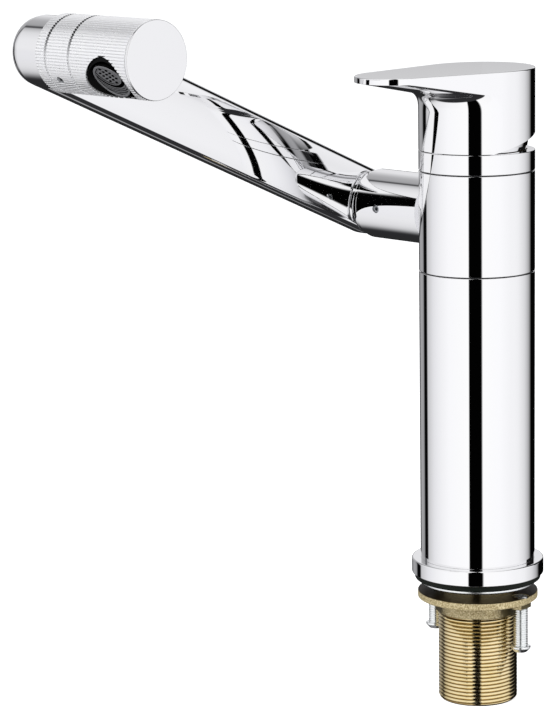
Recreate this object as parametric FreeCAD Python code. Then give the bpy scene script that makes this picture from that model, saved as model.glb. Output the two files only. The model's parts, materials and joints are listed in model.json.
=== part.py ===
"""Single lever deck mixer tap with a jointed flat arm and a knurled outlet head.

Millimetres. The origin is the centre of the gasket's underside, which is the
worktop plane. +Z runs up the column, +X is the way the arm reaches, and the
outlet head runs along +Y from the arm's upper end.
"""
import FreeCAD, Part
import os
from math import asin, cos, pi, radians, sin, sqrt, tan
from FreeCAD import Vector

ORIGIN = Vector(0, 0, 0)
UP = Vector(0, 0, 1)
ALONG_X = Vector(1, 0, 0)
ALONG_Y = Vector(0, 1, 0)
os.makedirs("parts", exist_ok=True)

# Clearances
running_fit = 0.05        # radial play of a shaft that turns in its bore
glide_play = 0.05         # axial play beside a glide ring
lever_gap = 0.3           # lever skirt above the collar
seam = 0.15               # joint line between two turning faces

# Column and base
column_radius = 24.0
sleeve_wall = 2.0
sleeve_length = 122.0
flange_radius = 27.7
flange_thickness = 6.5
flange_edge = 0.8
gasket_radius = 26.5
gasket_thickness = 2.7
glide_thickness = 0.4
glide_recess = 0.7        # glide ring's rim behind the chrome

# Threaded shank and clamp set under the worktop
shank_radius = 16.6
shank_neck_radius = 16.4
shank_bore_radius = 12.5
shank_below = 52.3
shank_chamfer = 1.0
shank_groove_step = 5.4   # plain grooves that stand for the thread's turns
shank_groove_depth = 0.8
shank_groove_width = 1.4
washer_radius = 24.6
washer_thickness = 1.9
washer_seat = 0.3         # washer's top face is let into the gasket
washer_play = 0.2
nut_radius = 25.3
nut_drop = 5.1            # nut's top face below the worktop plane
nut_disc_thickness = 3.1
nut_edge = 0.5
nut_hub_height = 6.0
nut_across_flats = 35.0
nut_corner_radii = (17.8, 18.9)   # hexagon's turned corners, bottom and top
nut_lag = 6.0             # degrees that a flat lies behind the first screw
screw_radius = 2.8         # between the crests and roots of an M6 thread
screw_length = 21.7
screw_head_radius = 4.2
screw_head_height = 2.4
screw_slot_width = 1.2
screw_slot_depth = 1.0
screw_pitch_radius = 21.9
screw_heading = 97.2      # degrees round the column from +X
screw_boss_radius = 4.6
screw_boss_drop = 1.8
screw_boss_inset = 0.3    # from the nut's rim
screw_tip_drops = (5.0, 1.8)

# Valve body inside the column
body_core_radius = 14.0
collar_wall = 3.4         # the collar stands on the body's head
body_foot_height = 5.0    # full width above the flange
body_foot_taper = 7.0
body_flare_height = 12.0
body_flare_taper = 8.0
inlet_offset = 6.2
inlet_thread_radius = 5.0
inlet_thread_depth = 12.0
inlet_bore_radius = 3.8
outlet_port_offset = 9.0
outlet_port_radius = 3.0
channel_height = 12.0     # water groove round the head
channel_depth = 1.6
o_ring_section = 1.6
o_ring_corner = 0.4
o_ring_inset = 6.4        # seals from the turning section's two ends

# Turning spout section with its stub
housing_height = 41.35
stub_height = 22.6        # stub axis above the section's lower edge
stub_radius = 14.7
arm_offset = 64.8         # arm's middle plane from the column axis
stub_end_gap = 8.8        # stub's end face from the arm's middle plane
spigot_radius = 9.95
spigot_depth = 29.0
spigot_floor = 4.0        # closed end of a spigot, from the arm's middle plane
waterway_radius = 4.5
arm_waterway_radius = 3.6
arm_seal_offsets = (-6.5, 8.0)    # from the locking groove
grub_radius = 1.7
grub_from_arm = 20.75
grub_sink = 0.5
groove_depth = 0.9

# Arm
arm_length = 190.3
arm_rise = 23.7           # degrees above level at rest
arm_half_height = 13.7
arm_half_thickness = 6.7
arm_crown_radius = 60.0
arm_corner_radius = 3.2
boss_height = 6.3         # round boss face from the arm's middle plane
boss_radius = 13.2
joint_ring_radius = 13.9
spot_face_play = 0.1      # round the joint ring where it seats on the arm

# Outlet head, with stations measured from the arm's middle plane
head_radius = 15.1
neck_radius = 14.0
neck_end = 11.5
inner_ring_width = 6.0
outer_ring_width = 13.3
barrel_width = 32.1
cap_thickness = 1.1
cap_radius = 15.0
cap_edge = 0.35
cap_plug_radius = 11.0
cap_plug_depth = 1.4
barrel_tail_radius = 12.6
barrel_tail_length = 5.0
ridge_count = 80
ridge_depth = 0.45
ridge_share = 0.62        # part of the pitch left as a land
ring_chamfer = 0.6
head_seal_offsets = (5.0, 9.0)    # from the locking groove
clip_thickness = 1.0
clip_radius = 11.0
clip_gap = 3.0
ring_grub_station = 22.9
ring_grub_angle = 36.5    # degrees below the arm's reach direction

# Aerator in the cross bore
mouth_station = 49.9
mouth_radius = 11.3
mouth_angle = 42.3        # degrees below the arm's reach direction
mouth_floor = 3.0         # bore floor from the head axis
aerator_radius = 8.45
aerator_face = 12.2       # outlet face from the head axis
aerator_rim = 0.9
aerator_recess = 0.6
aerator_hole_radius = 0.55
aerator_hole_pitch = 1.55
aerator_hole_rings = 3
aerator_hole_depth = 1.2
housing_skin = 0.8        # black housing's edge behind the knurl
crescent_width = 1.3

# Collar, dome and cartridge
collar_height = 8.25
collar_edge = 0.3
dome_seat = 0.3           # dome's foot below the collar's top
pivot_above_collar = 6.3
dome_radius = 21.3
dome_wall = 1.4
dome_top = 8.0            # above the lever pivot
dome_mouth_radius = 12.0
cartridge_radius = 17.5
cartridge_thread_step = 1.5       # nut's thread outside the cartridge
cartridge_neck_radius = 15.5
cartridge_floor_drop = 25.0
cartridge_shoulder_drop = 10.0
cartridge_top = 2.0       # above the pivot
cartridge_wall = 2.5
cartridge_floor = 3.0
nut_ring_height = 6.0
nut_ring_hex = 34.0
nut_ring_corner = 18.3    # hexagon's corners are turned down to clear the dome
nut_ring_drop = 2.0       # nut below the cartridge's neck
turret_radius = 11.4
turret_flange_radius = 12.9
turret_flange = 1.7
turret_top = 4.0          # above the pivot
disc_thickness = 3.2
fixed_disc_radius = 14.9
moving_disc_radius = 12.0
carrier_radius = 10.0
ball_drop = 8.0
ball_radius = 2.4
stem_width = 7.0
stem_top = 18.0           # above the pivot
stem_pin_radius = 1.5
lift_limit = 18.0

# Lever
lever_heading = -11.0     # degrees from the arm's reach direction
lever_wall = 1.8
ceiling_above_pivot = 17.0
handle_root = 23.2        # above the skirt's lower edge
handle_rim = 30.0
root_fillet = 5.0         # where the handle's underside leaves the skirt
handle_top = 33.2
handle_fall = 0.65        # degrees that the top face falls towards the tip
tip_distance = 40.7
tip_radius = 16.5
top_edge_radius = 0.6
skirt_rise_start = 8.0
skirt_rise = 14.5         # degrees
socket_boss_radius = 8.0
socket_boss_drop = 8.5
lever_grub_radius = 2.5
lever_grub_length = 5.0
lever_grub_height = 12.0  # above the pivot
plug_radius = 3.0

# Stations up the column
flange_top = gasket_thickness + flange_thickness
sleeve_top = flange_top + sleeve_length
housing_bottom = sleeve_top + glide_thickness + glide_play
housing_top = housing_bottom + housing_height
collar_bottom = housing_top + glide_play + glide_thickness
collar_top = collar_bottom + collar_height
skirt_bottom = collar_top + lever_gap
pivot = collar_top + pivot_above_collar
stub_axis = housing_bottom + stub_height
sleeve_bore = column_radius - sleeve_wall
body_head_radius = column_radius - collar_wall
cup_thread_radius = cartridge_radius + cartridge_thread_step
cartridge_bottom = pivot - cartridge_floor_drop
cartridge_shoulder = pivot - cartridge_shoulder_drop
body_top = collar_top - dome_seat
turret_bottom = pivot - ball_drop + ball_radius / 12
ceiling = pivot + ceiling_above_pivot
seal_stations = (housing_bottom + o_ring_inset, housing_top - o_ring_inset)

# Stations along the head
spigot_bore = spigot_radius + running_fit
inner_ring_start = neck_end + seam
outer_ring_start = inner_ring_start + inner_ring_width + seam
barrel_start = outer_ring_start + outer_ring_width + seam
barrel_end = barrel_start + barrel_width
cap_end = barrel_end + cap_thickness
spigot_end = mouth_station - mouth_radius - 0.4
clip_start = spigot_end - clip_thickness - 0.6

arm_foot = Vector(0, -arm_offset, stub_axis)
arm_direction = Vector(cos(radians(arm_rise)), 0, sin(radians(arm_rise)))
arm_head = arm_foot + arm_direction * arm_length


def save(node, *solids):
    """Write one node's solids to its own file."""
    shape = solids[0] if len(solids) == 1 else Part.makeCompound(list(solids))
    if not shape.isValid():
        print("not valid:", node)
    print(f"{node:22s} solids {len(shape.Solids)}  volume {shape.Volume:9.1f}")
    shape.exportStep(f"parts/{node}.step")


def rod(radius, start, end, axis=UP, centre=ORIGIN):
    """Cylinder on an axis through centre, between two stations along it."""
    return Part.makeCylinder(radius, end - start, centre + axis * start, axis)


def ring(outer, inner, start, end, axis=UP, centre=ORIGIN):
    """Cylinder with a plain bore."""
    return rod(outer, start, end, axis, centre).cut(rod(inner, start - 1, end + 1, axis, centre))


def turned(points):
    """Solid turned about the column axis from (radius, height) points."""
    corners = [Vector(radius, 0, height) for radius, height in points]
    face = Part.Face(Part.makePolygon(corners + corners[:1]))
    return face.revolve(ORIGIN, UP, 360)


def o_ring(inner_radius, section, station, axis=UP, centre=ORIGIN):
    """Seal squeezed into a groove cut down to inner_radius, so its section is square
    with soft corners."""
    start, end = station - section / 2, station + section / 2
    seal = ring(inner_radius + section, inner_radius, start, end, axis, centre)
    return seal.makeChamfer(o_ring_corner, [edge for edge in seal.Edges if edge.Closed])


def groove(outer, depth, width, station, axis=UP, centre=ORIGIN):
    """Ring to cut away for a seal or a screw point."""
    return ring(outer + 1, outer - depth, station - width / 2, station + width / 2, axis, centre)


def hexagon(across_flats, start, end, heading=0.0):
    """Hexagonal prism with one flat facing heading, in degrees."""
    reach = across_flats / 2 / cos(pi / 6)
    corners = []
    for side in range(7):
        angle = radians(heading + 30 + 60 * side)
        corners.append(Vector(reach * cos(angle), reach * sin(angle), start))
    return Part.Face(Part.makePolygon(corners)).extrude(UP * (end - start))


def bevel_ends(solid, radius, size, start, end, axis=UP, centre=ORIGIN):
    """Turn a bevel on both ends of a round piece."""
    length = end - start
    body = rod(radius, start, end, axis, centre)
    blank = body.makeChamfer(size, [edge for edge in body.Edges if edge.Closed])
    return solid.common(blank) if length > 2 * size else solid


def heading(shape):
    """Turn a piece from +X to the way that the lever points."""
    turned_shape = shape.copy()
    turned_shape.rotate(ORIGIN, UP, lever_heading)
    return turned_shape


def base_and_clamp():
    """Flange, gasket, threaded shank and the clamp set below the worktop."""
    flange = ring(flange_radius, sleeve_bore, gasket_thickness, flange_top)
    rims = [edge for edge in flange.Edges
            if edge.Closed and abs(edge.Curve.Radius - flange_radius) < 0.01]
    save("base_flange", flange.makeFillet(flange_edge, rims))
    gasket = ring(gasket_radius, shank_radius, 0, gasket_thickness)
    save("base_gasket", gasket.cut(rod(washer_radius + washer_play, -1, washer_seat)))

    free_top = -nut_drop - nut_disc_thickness - nut_hub_height - 0.4
    shank = rod(shank_radius, -shank_below, free_top)
    ends = [edge for edge in shank.Edges
            if edge.Closed and abs(edge.BoundBox.ZMin + shank_below) < 0.01]
    shank = shank.makeChamfer(shank_chamfer, ends)
    station = free_top - shank_groove_step / 2
    while station - shank_groove_width > shank_chamfer - shank_below:
        shank = shank.cut(v_groove(shank_radius, station))
        station -= shank_groove_step
    shank = shank.fuse(rod(shank_neck_radius, free_top, flange_top))
    save("threaded_shank", shank.cut(rod(shank_bore_radius, -shank_below - 1, flange_top + 1)))

    save("clamp_washer", ring(washer_radius, shank_radius, washer_seat - washer_thickness,
                              washer_seat))

    disc_bottom = -nut_drop - nut_disc_thickness
    nut = rod(nut_radius, disc_bottom, -nut_drop)
    rims = [edge for edge in nut.Edges if edge.Closed]
    nut = nut.makeChamfer(nut_edge, rims)
    hub_bottom = disc_bottom - nut_hub_height
    hub = hexagon(nut_across_flats, hub_bottom, disc_bottom, screw_heading - nut_lag)
    low_radius, high_radius = nut_corner_radii
    corners = turned([(0, hub_bottom), (low_radius, hub_bottom), (high_radius, disc_bottom),
                      (0, disc_bottom)])
    nut = nut.fuse(hub.common(corners))
    screws = []
    for number, tip_drop in enumerate(screw_tip_drops):
        angle = radians(screw_heading + 180 * number)
        centre = Vector(cos(angle), sin(angle), 0) * screw_pitch_radius
        boss = rod(screw_boss_radius, disc_bottom - screw_boss_drop,
                   disc_bottom + nut_disc_thickness / 2, centre=centre)
        boss = boss.common(rod(nut_radius - screw_boss_inset, hub_bottom, -nut_drop))
        nut = nut.fuse(boss).cut(rod(screw_radius, -2 * shank_below, 0, centre=centre))
        head_top = -tip_drop - screw_length
        head = rod(screw_head_radius, head_top - screw_head_height, head_top, centre=centre)
        lower = [edge for edge in head.Edges
                 if edge.Closed and edge.BoundBox.ZMax < head_top - screw_head_height / 2]
        head = head.makeFillet(screw_head_height * 0.55, lower)
        slot = Part.makeBox(2 * screw_head_radius, screw_slot_width, screw_slot_depth)
        slot.translate(centre + Vector(-screw_head_radius, -screw_slot_width / 2,
                                       head_top - screw_head_height))
        shaft = rod(screw_radius, head_top, -tip_drop, centre=centre)
        screws.append(head.cut(slot).fuse(shaft))
    save("clamp_nut", nut.cut(rod(shank_neck_radius, -2 * shank_below, 0)).removeSplitter())
    save("clamp_screws", *screws)


def v_groove(radius, station):
    """Ring to cut away from the shank, pointed like a thread's root."""
    half = shank_groove_width / 2
    slope = half / shank_groove_depth
    return turned([(radius - shank_groove_depth, station), (radius + 1, station - half - slope),
                   (radius + 1, station + half + slope)])


def valve_body():
    """Cast brass core that carries the sleeve, the turning spout and the cartridge."""
    foot_top = flange_top + body_foot_height
    flare = sleeve_top - body_flare_height
    body = turned([(0, gasket_thickness), (sleeve_bore, gasket_thickness),
                   (sleeve_bore, foot_top), (body_core_radius, foot_top + body_foot_taper),
                   (body_core_radius, flare - body_flare_taper), (sleeve_bore, flare),
                   (sleeve_bore, sleeve_top), (body_head_radius, sleeve_top),
                   (body_head_radius, body_top), (0, body_top)])
    body = body.cut(rod(cartridge_radius, cartridge_bottom, body_top + 1))
    body = body.cut(rod(cup_thread_radius, cartridge_shoulder, body_top + 1))
    body = body.cut(rod(shank_neck_radius, gasket_thickness - 1, flange_top))
    for side in (-1, 1):
        inlet = Vector(side * inlet_offset, 0, 0)
        body = body.cut(rod(inlet_thread_radius, flange_top - 1,
                            flange_top + inlet_thread_depth, centre=inlet))
        body = body.cut(rod(inlet_bore_radius, flange_top, cartridge_bottom + 1, centre=inlet))
    port = Vector(0, -outlet_port_offset, 0)
    body = body.cut(rod(outlet_port_radius, stub_axis, cartridge_bottom + 1, centre=port))
    side_port = rod(outlet_port_radius, -body_head_radius - 1, -outlet_port_offset, ALONG_Y,
                    Vector(0, 0, stub_axis))
    body = body.cut(side_port)
    body = body.cut(groove(body_head_radius, channel_depth, channel_height, stub_axis))
    for station in seal_stations:
        body = body.cut(groove(body_head_radius, o_ring_section, o_ring_section, station))
    save("valve_body", body)
    inner = body_head_radius - o_ring_section
    save("swivel_seals", *[o_ring(inner, o_ring_section, station) for station in seal_stations])


def column():
    """Chrome sleeve, glide rings, collar and dome."""
    save("column_sleeve", ring(column_radius, sleeve_bore, flange_top, sleeve_top))
    rim = column_radius - glide_recess
    save("lower_glide_ring", ring(rim, body_head_radius, sleeve_top, sleeve_top + glide_thickness))
    save("upper_glide_ring", ring(rim, body_head_radius, collar_bottom - glide_thickness,
                                  collar_bottom))
    collar = ring(column_radius, body_head_radius, collar_bottom, collar_top)
    rims = [edge for edge in collar.Edges
            if edge.Closed and edge.BoundBox.ZMin > collar_top - 0.01]
    save("collar_ring", collar.makeChamfer(collar_edge, rims))

    centre = Vector(0, 0, pivot)
    band = rod(dome_radius + 1, body_top, pivot + dome_top)
    dome = Part.makeSphere(dome_radius, centre).common(band)
    hollow = Part.makeSphere(dome_radius - dome_wall, centre)
    hollow = hollow.common(rod(dome_radius, body_top - 1, pivot + dome_top - dome_wall))
    save("dome_cap", dome.cut(hollow).cut(rod(dome_mouth_radius, body_top, pivot + dome_top + 1)))


def spout_section():
    """Turning section of the column with the stub that carries the arm."""
    axis_centre = Vector(0, 0, stub_axis)
    stub_end = -(arm_offset - stub_end_gap)
    housing = rod(column_radius, housing_bottom, housing_top)
    stub = rod(stub_radius, stub_end, 0, ALONG_Y, axis_centre)
    ends = [edge for edge in stub.Edges
            if edge.Closed and abs(edge.BoundBox.YMin - stub_end) < 0.01]
    housing = housing.fuse(stub.makeChamfer(0.3, ends))
    housing = housing.cut(rod(body_head_radius + running_fit, housing_bottom - 1, housing_top + 1))
    housing = housing.cut(rod(spigot_bore, stub_end - 1, stub_end + spigot_depth,
                              ALONG_Y, axis_centre))
    housing = housing.cut(rod(waterway_radius, stub_end, -body_head_radius + 2,
                              ALONG_Y, axis_centre))
    grub_place = Vector(0, -arm_offset + grub_from_arm, stub_axis)
    housing = housing.cut(rod(grub_radius, 0, stub_radius + 1, ALONG_X, grub_place))
    save("swivel_housing", housing)
    tip = spigot_radius - groove_depth + 0.2
    save("stub_grub_screw", socket_screw(grub_radius, tip, stub_radius - grub_sink,
                                         ALONG_X, grub_place))


def socket_screw(radius, start, end, axis, centre):
    """Headless screw with a round socket in its outer end."""
    screw = rod(radius, start, end, axis, centre)
    return screw.cut(rod(radius * 0.55, end - 1.2, end + 1, axis, centre))


def arm_half_section(half_height, half_thickness, crown, corner):
    """Points of the crowned half section: (across, out) pairs and arc middles."""
    corner_out = half_thickness - crown + sqrt((crown - corner) ** 2 - (half_height - corner) ** 2)
    lean = asin((half_height - corner) / (crown - corner))
    crown_centre = half_thickness - crown

    def on_crown(angle):
        return crown * sin(angle), crown_centre + crown * cos(angle)

    def on_corner(angle):
        return half_height - corner + corner * sin(angle), corner_out + corner * cos(angle)

    middle = (lean + pi / 2) / 2
    return {"top": (0, half_thickness), "crown_mid": on_crown(lean / 2), "crown_end": on_crown(lean),
            "corner_mid": on_corner(middle), "side": (half_height, corner_out)}


def arm():
    """Flat crowned arm with its two bosses, drilled for water."""
    marks = arm_half_section(arm_half_height, arm_half_thickness, arm_crown_radius,
                             arm_corner_radius)

    def place(mark, side_across=1, side_out=1):
        across, out = marks[mark]
        return Vector(side_across * across, side_out * out, 0)

    def quarter(side_across, side_out):
        crown = Part.Arc(place("top", side_across, side_out),
                         place("crown_mid", side_across, side_out),
                         place("crown_end", side_across, side_out))
        corner = Part.Arc(place("crown_end", side_across, side_out),
                          place("corner_mid", side_across, side_out),
                          place("side", side_across, side_out))
        return [crown.toShape(), corner.toShape()]

    def flat(start, end):
        return Part.LineSegment(start, end).toShape()

    half = quarter(1, 1) + [flat(place("side"), place("side", 1, -1))] + quarter(1, -1)
    half += [flat(place("top", 1, -1), place("top"))]
    half_face = Part.Face(Part.Wire(Part.__sortEdges__(half)))
    foot_end = half_face.revolve(ORIGIN, ALONG_Y, 180)
    other_face = half_face.copy()
    other_face.rotate(ORIGIN, ALONG_Y, 180)
    head_end = other_face.revolve(ORIGIN, ALONG_Y, 180)
    whole = half_face.fuse(other_face)
    bar = whole.extrude(UP * arm_length)
    head_end.translate(UP * arm_length)
    solid = bar.fuse([foot_end, head_end]).removeSplitter()
    solid.rotate(ORIGIN, ALONG_Y, 90 - arm_rise)
    solid.translate(arm_foot)

    solid = solid.fuse(rod(boss_radius, 0, boss_height, ALONG_Y, arm_foot))
    neck = rod(neck_radius, 0, neck_end, ALONG_Y, arm_head)
    ends = [edge for edge in neck.Edges
            if edge.Closed and edge.BoundBox.YMin > arm_head.y + neck_end - 0.01]
    solid = solid.fuse(neck.makeFillet(0.5, ends))
    solid = solid.cut(rod(joint_ring_radius + spot_face_play, boss_height, stub_end_gap,
                          ALONG_Y, arm_foot))
    solid = solid.cut(rod(spigot_radius, 0, boss_height + 1, ALONG_Y, arm_foot))
    solid = solid.cut(rod(spigot_radius, 0, neck_end + 1, ALONG_Y, arm_head))
    solid = solid.cut(rod(arm_waterway_radius, 0, arm_length, arm_direction, arm_foot))
    save("arm_bar", solid)


def arm_joint():
    """Spigot, seals and glide ring where the arm turns in the stub."""
    stub_face = stub_end_gap
    end = stub_face + spigot_depth - 1.0
    spigot = rod(spigot_radius, 0, end, ALONG_Y, arm_foot)
    spigot = spigot.cut(groove(spigot_radius, groove_depth, 2 * grub_radius + 0.3,
                               grub_from_arm, ALONG_Y, arm_foot))
    seal_places = [grub_from_arm + offset for offset in arm_seal_offsets]
    for station in seal_places:
        spigot = spigot.cut(groove(spigot_radius, o_ring_section, o_ring_section, station,
                                   ALONG_Y, arm_foot))
    spigot = spigot.cut(rod(waterway_radius, spigot_floor, end + 1, ALONG_Y, arm_foot))
    spigot = spigot.cut(rod(arm_waterway_radius, 0, spigot_radius + 1, arm_direction, arm_foot))
    spigot = spigot.cut(rod(arm_waterway_radius, 0, spigot_floor + 1, ALONG_Y, arm_foot))
    save("arm_spigot", spigot)
    inner = spigot_radius - o_ring_section
    save("arm_seals", *[o_ring(inner, o_ring_section, station, ALONG_Y, arm_foot)
                        for station in seal_places])
    save("arm_joint_ring", ring(joint_ring_radius, spigot_radius, boss_height,
                                stub_end_gap - seam, ALONG_Y, arm_foot))


def knurled_blank(start, end):
    """Straight ridged cylinder on the head axis, with bevelled ends."""
    pitch = 2 * pi / ridge_count
    land = pitch * ridge_share
    edges = []
    inner = head_radius - ridge_depth

    def at(radius, angle):
        return Vector(radius * cos(angle), start, radius * sin(angle)) + arm_head

    for number in range(ridge_count):
        first = number * pitch
        edges.append(Part.Arc(at(head_radius, first), at(head_radius, first + land / 2),
                              at(head_radius, first + land)).toShape())
        valley = first + (land + pitch) / 2
        edges.append(Part.LineSegment(at(head_radius, first + land), at(inner, valley)).toShape())
        edges.append(Part.LineSegment(at(inner, valley), at(head_radius, first + pitch)).toShape())
    blank = Part.Face(Part.Wire(edges)).extrude(ALONG_Y * (end - start))
    return bevel_ends(blank, head_radius, ring_chamfer, start, end, ALONG_Y, arm_head)


def head_rings():
    """The two fixed knurled rings, with the grub screw of the wider one."""
    inner_end = inner_ring_start + inner_ring_width
    bore = rod(spigot_radius, inner_ring_start - 1, inner_end + 1, ALONG_Y, arm_head)
    save("inner_knurled_ring", knurled_blank(inner_ring_start, inner_end).cut(bore))

    outer_end = outer_ring_start + outer_ring_width
    outer = knurled_blank(outer_ring_start, outer_end)
    outer = outer.cut(rod(spigot_radius, outer_ring_start - 1, outer_end + 1, ALONG_Y, arm_head))
    outer = outer.cut(rod(barrel_tail_radius + running_fit, outer_end - barrel_tail_length - 0.3,
                          outer_end + 1, ALONG_Y, arm_head))
    angle = radians(ring_grub_angle)
    way = Vector(cos(angle), 0, -sin(angle))
    place = arm_head + ALONG_Y * ring_grub_station
    outer = outer.cut(rod(grub_radius, spigot_radius - 1, head_radius + 1, way, place))
    save("outer_knurled_ring", outer)
    save("ring_grub_screw", socket_screw(grub_radius, spigot_radius - groove_depth + 0.2,
                                         head_radius - grub_sink, way, place))


def head_spigot():
    """Spigot that carries the head rings and the outlet barrel."""
    spigot = rod(spigot_radius, 0, spigot_end, ALONG_Y, arm_head)
    spigot = spigot.cut(groove(spigot_radius, groove_depth, 2 * grub_radius + 0.3,
                               ring_grub_station, ALONG_Y, arm_head))
    clip_middle = clip_start + clip_thickness / 2
    spigot = spigot.cut(groove(spigot_radius, groove_depth, clip_thickness, clip_middle,
                               ALONG_Y, arm_head))
    seal_places = [ring_grub_station + offset for offset in head_seal_offsets]
    for station in seal_places:
        spigot = spigot.cut(groove(spigot_radius, o_ring_section, o_ring_section, station,
                                   ALONG_Y, arm_head))
    spigot = spigot.cut(rod(waterway_radius, spigot_floor, spigot_end + 1, ALONG_Y, arm_head))
    spigot = spigot.cut(rod(arm_waterway_radius, 0, spigot_floor + 1, ALONG_Y, arm_head))
    back = rod(arm_waterway_radius, -spigot_radius - 1, 0, arm_direction, arm_head)
    save("outlet_spigot", spigot.cut(back))
    inner = spigot_radius - o_ring_section
    save("outlet_seals", *[o_ring(inner, o_ring_section, station, ALONG_Y, arm_head)
                           for station in seal_places])
    clip = ring(clip_radius, spigot_radius - groove_depth, clip_start,
                clip_start + clip_thickness, ALONG_Y, arm_head)
    gap = Part.makeBox(clip_gap, clip_thickness + 2, clip_radius + 1,
                       arm_head + Vector(-clip_gap / 2, clip_start - 1, 0))
    save("retaining_clip", clip.cut(gap))


def mouth_rod(radius, start, end):
    """Cylinder on the cross bore's axis."""
    angle = radians(mouth_angle)
    way = Vector(cos(angle), 0, -sin(angle))
    return rod(radius, start, end, way, arm_head + ALONG_Y * mouth_station)


def outlet_barrel():
    """Knurled barrel, cross bored for the aerator, with its end cap."""
    barrel = knurled_blank(barrel_start, barrel_end)
    tail_start = barrel_start - barrel_tail_length
    barrel = barrel.fuse(rod(barrel_tail_radius, tail_start, barrel_start + 1, ALONG_Y, arm_head))
    barrel = barrel.cut(rod(spigot_bore, tail_start - 1, spigot_end + 0.2, ALONG_Y, arm_head))
    barrel = barrel.cut(rod(clip_radius + 0.3, clip_start - 0.2, spigot_end + 0.2,
                            ALONG_Y, arm_head))
    barrel = barrel.cut(mouth_rod(mouth_radius, mouth_floor, head_radius + 5))
    barrel = barrel.cut(rod(waterway_radius, spigot_end, mouth_station, ALONG_Y, arm_head))
    barrel = barrel.cut(mouth_rod(waterway_radius, 0, mouth_floor + 1))
    barrel = barrel.cut(rod(cap_plug_radius, barrel_end - cap_plug_depth, barrel_end + 1,
                            ALONG_Y, arm_head))
    save("outlet_barrel", barrel)

    cap = rod(cap_radius, barrel_end, cap_end, ALONG_Y, arm_head)
    rims = [edge for edge in cap.Edges
            if edge.Closed and edge.BoundBox.YMin > arm_head.y + cap_end - 0.01]
    cap = cap.makeChamfer(cap_edge, rims)
    save("end_cap", cap.fuse(rod(cap_plug_radius, barrel_end - cap_plug_depth, barrel_end,
                                 ALONG_Y, arm_head)))


def aerator():
    """Black aerator housing and the perforated outlet insert in it."""
    seat = mouth_floor + 3.0
    skin = rod(head_radius - housing_skin, mouth_station - 2 * mouth_radius,
               mouth_station + 2 * mouth_radius, ALONG_Y, arm_head)
    housing = mouth_rod(mouth_radius, mouth_floor, head_radius + 2).common(skin)
    flare_start = aerator_face - 3.2
    angle = radians(mouth_angle)
    way = Vector(cos(angle), 0, -sin(angle))
    flare = Part.makeCone(aerator_radius + 0.3, mouth_radius, head_radius - flare_start,
                          arm_head + ALONG_Y * mouth_station + way * flare_start, way)
    housing = housing.cut(flare).cut(mouth_rod(aerator_radius, seat, head_radius + 2))
    save("aerator_housing", housing.cut(mouth_rod(waterway_radius, 0, seat + 1)))

    insert = mouth_rod(aerator_radius, seat, aerator_face)
    field = aerator_radius - aerator_rim
    insert = insert.cut(mouth_rod(field, aerator_face - aerator_recess, aerator_face + 1))
    floor = aerator_face - aerator_recess
    centre = arm_head + ALONG_Y * mouth_station
    across = Vector(sin(angle), 0, cos(angle))
    plate = floor - aerator_hole_depth
    crescent_outer = rod(field - 1.1, plate, floor + 1, way, centre)
    shifted = centre + (across + ALONG_Y * -0.35) * crescent_width
    insert = insert.cut(crescent_outer.cut(rod(field - 1.1, plate - 1, floor + 2, way, shifted)))
    holes = []
    for ring_number in range(aerator_hole_rings + 1):
        count = max(1, 6 * ring_number)
        for step in range(count):
            turn = 2 * pi * step / count
            reach = ring_number * aerator_hole_pitch
            spot = shifted + (across * cos(turn) + ALONG_Y * sin(turn)) * reach
            holes.append(rod(aerator_hole_radius, plate, floor + 1, way, spot))
    save("aerator_insert", insert.cut(holes))


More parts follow.
